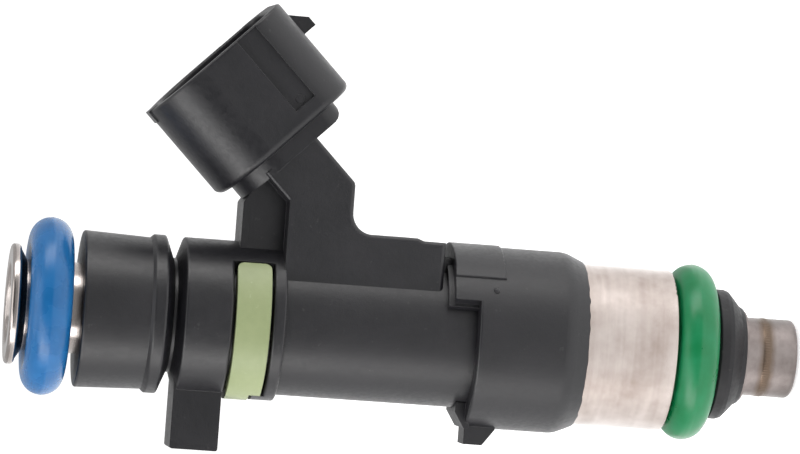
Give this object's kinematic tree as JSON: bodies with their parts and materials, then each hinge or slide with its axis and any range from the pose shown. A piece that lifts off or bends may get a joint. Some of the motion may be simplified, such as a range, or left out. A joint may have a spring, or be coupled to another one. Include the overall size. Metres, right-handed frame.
{
  "type": "fuel injector",
  "caption": "Top-feed port fuel injector with O-ring seals at both ends, an angled two-pin connector and a spring-closed solenoid valve.",
  "frame": {"origin": "on the injector's axis, at the nozzle tip's end face", "axes": "+Z along the injector's axis towards the fuel inlet, +X towards the side the connector leans out on"},
  "size_m": [0.0368, 0.015, 0.0654],
  "materials": {
    "housing_plastic": "satin moulded glass-filled nylon",
    "retainer_plastic": "matte",
    "ring_plastic": "satin",
    "blue_rubber": "smooth, lightly glossy",
    "green_rubber": "smooth, lightly glossy",
    "stainless_steel": "turned",
    "can_steel": "satin, brushed round",
    "nozzle_steel": "ground, with a heat-tinted weld",
    "magnetic_steel": "turned",
    "spring_steel": "drawn",
    "brass": "turned",
    "copper": "enamelled wire",
    "tinned_contact": "tin plated",
    "filter_plastic": "natural nylon"
  },
  "bodies": {
    "injector": {"upper_housing": "housing_plastic", "lower_shroud": "housing_plastic", "colour_ring": "ring_plastic", "upper_o_ring": "blue_rubber", "lower_o_ring": "green_rubber", "lower_seal_retainer": "retainer_plastic", "inlet_tube": "stainless_steel", "filter_ring": "brass", "filter_cage": "filter_plastic", "filter_mesh": "filter_plastic", "pole_core": "magnetic_steel", "adjusting_tube": "brass", "return_spring": "spring_steel", "coil_housing": "can_steel", "flux_washer": "magnetic_steel", "coil_bobbin": "filter_plastic", "coil_winding": "copper", "terminal_near": "tinned_contact", "terminal_far": "tinned_contact", "valve_sleeve": "stainless_steel", "nozzle_body": "nozzle_steel", "valve_seat": "stainless_steel", "ball_guide": "stainless_steel", "spray_plate": "stainless_steel"},
    "valve": {"armature": "magnetic_steel", "needle_tube": "stainless_steel", "valve_ball": "spring_steel"}
  },
  "joints": [
    {"name": "needle_lift", "type": "slide", "parent": "injector", "child": "valve", "axis": [0, 0, 1], "range_m": [0, 0.0001], "stiffness_N_per_m": 20, "springref_m": -0.001, "deforming": ["return_spring"]}
  ]
}
